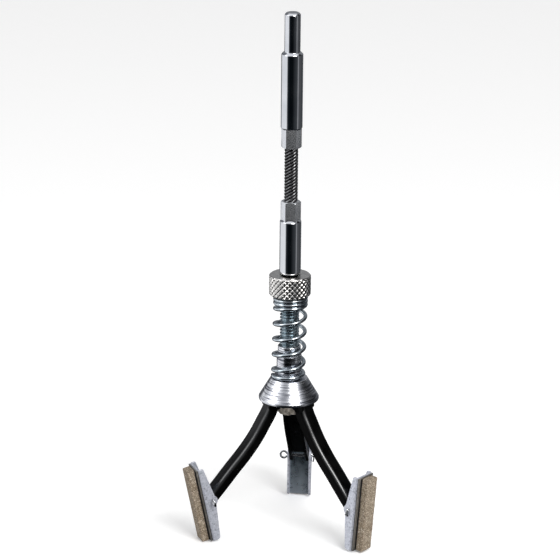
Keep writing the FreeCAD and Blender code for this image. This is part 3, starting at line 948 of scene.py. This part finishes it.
def build_arms():
    for number in LEGS:
        bm = leg_channel()
        turn_about_axis(bm, LEG_AZIMUTH_DEG[number])
        body = f"arm_{number}"
        obj = finish_piece(f"arm_{number}_enamelled", bm, ENAMEL, body, [body], 40)
        bevel_edges(obj, 0.16 * MM)


# ---------------------------------------------------------------- shoes and stones

def to_shoe(bm, number):
    """From shoe coordinates, x outward through the stone and z up along it, to its place on the tool."""
    place = Matrix.Rotation(math.radians(LEG_AZIMUTH_DEG[number]), 4, "Z")
    place = place @ Matrix.Translation((SHOE_PIVOT_R, 0, SHOE_PIVOT_Z))
    place = place @ Matrix.Rotation(math.radians(SHOE_LEAN_DEG[number]), 4, "Y")
    bmesh.ops.transform(bm, matrix=place, verts=bm.verts)
    return bm


def ear_edge(s):
    """Free edge of the shoe's ears at a height s: a low peak round the pivot."""
    a, b = 0.8 * SHOE_APEX_R, 0.6 * SHOE_APEX_R
    if abs(s) <= a:
        return -math.sqrt(max(SHOE_APEX_R ** 2 - s ** 2, 0))
    if s > a:
        return -b + (s - a) / (SHOE_TOP_S - a) * (EAR_TOP_N + b)
    return -b + (-a - s) / (-a - SHOE_END_S) * (EAR_END_N + b)


def shoe_heights():
    """Heights of the shoe's sections, close together at its ends and round the pivot."""
    heights = [SHOE_END_S, SHOE_END_S + 0.35 * MM, SHOE_END_S + 0.9 * MM]
    heights += [SHOE_END_S + (0.97 * -SHOE_END_S - 2 * MM) * i / 8 for i in range(2, 9)]
    heights += [-1.7 * MM, -1.2 * MM, -0.6 * MM, 0, 0.6 * MM, 1.2 * MM, 1.7 * MM]
    heights += [2.2 * MM + (SHOE_TOP_S - 2.2 * MM - 0.6 * MM) * i / 7 for i in range(8)]
    return sorted(set(heights + [SHOE_TOP_S - 0.25 * MM, SHOE_TOP_S]))


def build_shoe(number):
    stations = []
    for s in shoe_heights():
        edge = ear_edge(s)
        from_end = min(s - SHOE_END_S, SHOE_TOP_S - s)
        rounding = EAR_END_ROUNDING if s < 0 else EAR_TOP_ROUNDING
        if from_end < rounding:
            edge += rounding - math.sqrt(max(rounding ** 2 - (rounding - from_end) ** 2, 0))
        stations.append((Vector((0, 0, s)), Vector((1, 0, 0)), SHOE_WEB_N, edge, True))
    bm = sweep_channel(stations, SHOE_WIDTH, SHOE_BEND_R)
    thicken(bm, SHOE_SHEET)
    bm.normal_update()
    # painted shade: faces that look into the channel by the web take the darker inside copy of the zinc plate
    for face in bm.faces:
        middle = face.calc_center_median()
        looks_in = face.normal.x < -0.5 or face.normal.y * middle.y < -0.5 * abs(middle.y)
        near_web = abs(middle.x - SHOE_WEB_N) < SHOE_SHEET + 0.2 * MM
        face.material_index = 1 if looks_in and near_web else 0
    body = f"shoe_{number}"
    obj = finish_piece(f"shoe_{number}_pressed", to_shoe(bm, number), (SHOE_ZINC, SHOE_INSIDE_SHADED), body, [body],
                       40)
    bevel_edges(obj, 0.12 * MM)


def sheet(n_low, n_high, half_width, s_low, s_high, rounding):
    """Thin plate parallel to the shoe's web, between two distances n outward and two heights s."""
    bm = box_mesh(Vector((n_low, -half_width, s_low)), Vector((n_high, half_width, s_high)))
    return round_edges(bm, rounding, 2, 60.0)


def chipped_stone(number):
    """Stone block with worn arrises: its corners are rounded unevenly and the faces are slightly rough."""
    plate_out = SHOE_WEB_N + PLATE_SHEET
    low = Vector((plate_out + 0.08 * MM, -STONE_WIDTH / 2, STONE_END_S))
    high = Vector((plate_out + STONE_THICK, STONE_WIDTH / 2, STONE_TOP_S))
    bm = box_mesh(low, high)
    for axis in (2, 1, 0):
        along = [e for e in bm.edges if abs((e.verts[0].co - e.verts[1].co).normalized()[axis]) > 0.9]
        bmesh.ops.subdivide_edges(bm, edges=along, cuts=STONE_CUTS[axis], use_grid_fill=True)
    seed = Vector((number * 17.0, 0, 0))
    centre = (low + high) / 2
    half = (high - low) / 2
    for vert in bm.verts:
        local = vert.co - centre
        near = [half[i] - abs(local[i]) for i in range(3)]
        chip = 0.5 + 0.5 * noise.noise(vert.co * 900 + seed)
        reach = (0.12 + 0.38 * chip ** 2) * MM
        nearest, second = sorted(near)[:2]
        if nearest < 1e-7 and second < reach:
            pull = (reach - second) / reach
            corner = Vector([math.copysign(1, local[i]) if near[i] < reach else 0 for i in range(3)])
            vert.co -= corner * pull * pull * reach * 0.45
        vert.co -= vert.normal * 0.03 * MM * (0.5 + 0.5 * noise.noise(vert.co * 2600 + seed))
    return bm


def build_stone(number):
    """The stone, the steel plate behind it, a black epoxy line where the stone is stuck to the plate, and a
    black strip of painted shade in the gap between the plate and the shoe's web.
    """
    body = f"shoe_{number}"
    stone = to_shoe(chipped_stone(number), number)
    finish_piece(f"stone_{number}_bonded", stone, STONE, body, [f"stone_{number}"], 60)
    plate_low = STONE_END_S - PLATE_OVERHANG
    plate_high = STONE_TOP_S + PLATE_OVERHANG
    plate_half = PLATE_WIDTH / 2
    plate_out = SHOE_WEB_N + PLATE_SHEET
    plate = sheet(SHOE_WEB_N + 0.02 * MM, plate_out - 0.1 * MM, plate_half, plate_low, plate_high, 0.1 * MM)
    finish_piece(f"backing_plate_{number}_sheet", to_shoe(plate, number), PLATE_STEEL, body,
                 [f"backing_plate_{number}"], 60)
    # painted shade: a thin black strip along the web, a little wider than the plate, for the shade in the gap
    # between the web and the plate
    gap_shade = sheet(SHOE_WEB_N - 0.12 * MM, SHOE_WEB_N + 0.1 * MM, plate_half + 0.02 * MM,
                 plate_low + 0.1 * MM, plate_high - 0.3 * MM, 0.03 * MM)
    finish_piece(f"plate_gap_shade_{number}", to_shoe(gap_shade, number), BOND, body, sharp_deg=60)
    bond = sheet(plate_out - 0.2 * MM, plate_out + 0.4 * MM, STONE_WIDTH / 2 + 0.3 * MM,
                 STONE_END_S + 0.1 * MM, STONE_TOP_S - 0.1 * MM, 0.1 * MM)
    finish_piece(f"bond_line_{number}", to_shoe(bond, number), BOND, body, sharp_deg=60)


# ---------------------------------------------------------------- split pins

def wire_mesh(points, wire_r):
    """Round wire along a smooth line through the points, as a bmesh."""
    mesh = curve_mesh(points, bevel_depth=wire_r, bevel_resolution=4, resolution_u=10, use_fill_caps=True)
    bm = bmesh.new()
    bm.from_mesh(mesh)
    bpy.data.meshes.remove(mesh)
    bmesh.ops.remove_doubles(bm, verts=bm.verts, dist=1e-7)
    return bm


def build_split_pin(number):
    """Split pin: two half wires side by side, an eye on one side, tails bent apart on the other."""
    half = SHOE_WIDTH / 2
    w = SPLIT_WIRE_R
    upper_tail = [(0, -half - 0.35 * MM, w), (0.1 * MM, -half - 0.85 * MM, -0.6 * MM),
                  (0.5 * MM, -half - 0.7 * MM, -2.3 * MM)]
    lower_tail = [(0, -half - 0.3 * MM, -w), (-0.3 * MM, -half - 0.55 * MM, -1.2 * MM),
                  (-0.6 * MM, -half - 0.5 * MM, -2.0 * MM)]
    eye_y = half + 0.3 * MM + SPLIT_EYE_R
    eye = []
    for i in range(9):
        a = math.radians(-150 + 300 * i / 8)
        eye.append((0, eye_y + SPLIT_EYE_R * math.cos(a), SPLIT_EYE_R * math.sin(a)))
    points = lower_tail[::-1] + [(0, 0, -w), (0, half, -w)] + eye + [(0, half, w), (0, 0, w)] + upper_tail
    bm = to_shoe(wire_mesh(points, w), number)
    finish_piece(f"split_pin_{number}_wire", bm, PIN_STEEL, f"shoe_{number}", [f"split_pin_{number}"],
                 60)


# ---------------------------------------------------------------- stage

CAMERA_AZIMUTH_DEG = 8.2
CAMERA_DISTANCE = 1.068
CAMERA_HEIGHT = 0.4495
CAMERA_SIDE = -0.0038
CAMERA_PITCH_DEG = 18.05
CAMERA_ROLL_DEG = 0.55
CAMERA_LENS_MM = 189.7
LIGHT_SIZE = 0.45
LIGHT_DISTANCE = 1.0
LIGHT_TARGET = Vector((0, 0, 0.08))


def build_camera():
    data = bpy.data.cameras.new("camera")
    data.lens = CAMERA_LENS_MM
    data.sensor_width = 36.0
    data.clip_start = 0.05
    data.clip_end = 20.0
    camera = bpy.data.objects.new("camera", data)
    bpy.context.scene.collection.objects.link(camera)
    turn = Matrix.Rotation(math.radians(CAMERA_AZIMUTH_DEG), 4, "Z")
    place = turn @ Matrix.Translation((CAMERA_SIDE, -CAMERA_DISTANCE, CAMERA_HEIGHT))
    place = place @ Matrix.Rotation(math.radians(90 - CAMERA_PITCH_DEG), 4, "X")
    camera.matrix_world = place @ Matrix.Rotation(math.radians(CAMERA_ROLL_DEG), 4, "Z")
    bpy.context.scene.camera = camera


def build_floor():
    bm = bmesh.new()
    bmesh.ops.create_grid(bm, x_segments=1, y_segments=1, size=3.0)
    bmesh.ops.translate(bm, vec=(0, 0, CAD_BOX[0][2] - 0.05 * MM), verts=bm.verts)
    mesh = bpy.data.meshes.new("floor")
    bm.to_mesh(mesh)
    bm.free()
    white = linear("#FFFFFF")
    paper = material("backlit_white_paper", Roughness=0.95, Base_Color=white, Emission_Color=white,
                     Emission_Strength=0.12)[0]
    mesh.materials.append(paper)
    floor = bpy.data.objects.new("floor", mesh)
    floor.visible_glossy = False
    bpy.context.scene.collection.objects.link(floor)


# the studio's brightness by bearing in degrees: 0 is toward the camera, positive to its right
LOW_PANELS = [(-180, "#84868A"), (-163, "#6A6C70"), (-142, "#3E4044"), (-131, "#F4F6FA"),
              (-58, "#F8FAFD"), (-46, "#262B30"), (-22, "#0A0E12"), (8, "#0E1215"), (36, "#36393D"),
              (58, "#44474A"), (67, "#A2A3A7"), (77, "#55575A"), (112, "#505255"), (122, "#36383B"),
              (142, "#5C5E62"), (180, "#84868A")]
HIGH_PANELS = [(-180, "#8A8C90"), (-118, "#6E7176"), (-101, "#F8FAFF"), (-47, "#F6F8FC"),
               (-32, "#A3A6AC"), (-4, "#94979C"), (12, "#FFFFFF"), (44, "#FFFFFF"), (56, "#C4C6CB"),
               (68, "#6E7076"), (84, "#26282B"), (104, "#121416"), (118, "#24262A"), (140, "#8E9094"),
               (180, "#8A8C90")]
SOFT_WALLS = [(-180, "#FFFFFF"), (-130, "#B4B4B4"), (-60, "#6E6E6E"), (-12, "#C4C4C4"),
              (30, "#FFFFFF"), (180, "#FFFFFF")]


def panel_ring(tree, angle, panels):
    """Ring of soft boxes and dark gaps round the tool, given by their bearings from the camera."""
    share = spread(tree, angle, 0.0, 1.0, -math.pi, math.pi)
    return ramp(tree, share, [((bearing + 180) / 360, colour) for bearing, colour in panels])


def build_world():
    """Soft white studio; plating sees soft boxes at the left and front right, with a dark room between."""
    world = bpy.data.worlds.new("studio")
    world.use_nodes = True
    tree = world.node_tree
    tree.nodes.clear()
    coords = add(tree, "ShaderNodeTexCoord").outputs["Generated"]
    turn = {"Vector": coords, "Angle": -math.radians(CAMERA_AZIMUTH_DEG)}
    turned = add(tree, "ShaderNodeVectorRotate", turn, rotation_type="Z_AXIS").outputs[0]
    parts = add(tree, "ShaderNodeSeparateXYZ", {"Vector": turned}).outputs
    toward_camera = add(tree, "ShaderNodeMath", {0: parts["Y"], 1: -1.0}, operation="MULTIPLY").outputs[0]
    angle = add(tree, "ShaderNodeMath", {0: parts["X"], 1: toward_camera}, operation="ARCTAN2").outputs[0]
    height = parts["Z"]
    low_ring = panel_ring(tree, angle, LOW_PANELS)
    high_ring = panel_ring(tree, angle, HIGH_PANELS)
    rings = mix_colour(tree, spread(tree, height, 0.0, 1.0, 0.06, 0.34), low_ring, high_ring)
    ceiling = mix_colour(tree, spread(tree, height, 0.0, 1.0, 0.70, 0.88), rings, linear("#FAFBFF"))
    room = mix_colour(tree, spread(tree, height, 0.0, 1.0, -0.62, -0.42), linear("#1A1D20"), ceiling)
    walls = panel_ring(tree, angle, SOFT_WALLS)
    glossy = add(tree, "ShaderNodeBackground", {"Color": room, "Strength": 1.0}).outputs[0]
    plain = add(tree, "ShaderNodeBackground", {"Color": walls, "Strength": 0.95}).outputs[0]
    white = add(tree, "ShaderNodeBackground", {"Color": linear("#FFFFFF"), "Strength": 1.0}).outputs[0]
    rays = add(tree, "ShaderNodeLightPath").outputs
    lit = add(tree, "ShaderNodeMixShader", {0: rays["Is Glossy Ray"], 1: plain, 2: glossy}).outputs[0]
    mixed = add(tree, "ShaderNodeMixShader", {0: rays["Is Camera Ray"], 1: lit, 2: white}).outputs[0]
    add(tree, "ShaderNodeOutputWorld", {"Surface": mixed})
    bpy.context.scene.world = world


def build_light(name, azimuth_deg, elevation_deg, power):
    """Square soft box aimed at the tool; its azimuth is counted from the camera's."""
    data = bpy.data.lights.new(name, "AREA")
    data.size = LIGHT_SIZE
    data.energy = power
    light = bpy.data.objects.new(name, data)
    a = math.radians(azimuth_deg + CAMERA_AZIMUTH_DEG)
    e = math.radians(elevation_deg)
    back = Vector((math.sin(a) * math.cos(e), -math.cos(a) * math.cos(e), math.sin(e)))
    light.location = LIGHT_TARGET + back * LIGHT_DISTANCE
    light.rotation_euler = (-back).to_track_quat("-Z", "Y").to_euler()
    bpy.context.scene.collection.objects.link(light)


def build_stage():
    build_camera()
    build_floor()
    build_world()
    build_light("left_box", -74, 34, 1.6)
    build_light("front_right_box", 30, 40, 6.0)
    scene = bpy.context.scene
    scene.view_settings.view_transform = "Standard"
    scene.view_settings.look = "None"


def main():
    build_shank()
    build_lower_ferrule()
    build_flex()
    build_rod()
    build_nut()
    build_spring()
    build_cone()
    build_spider()
    build_arm_pins()
    build_arms()
    for number in LEGS:
        build_shoe(number)
        build_stone(number)
        build_split_pin(number)
    build_stage()


main()
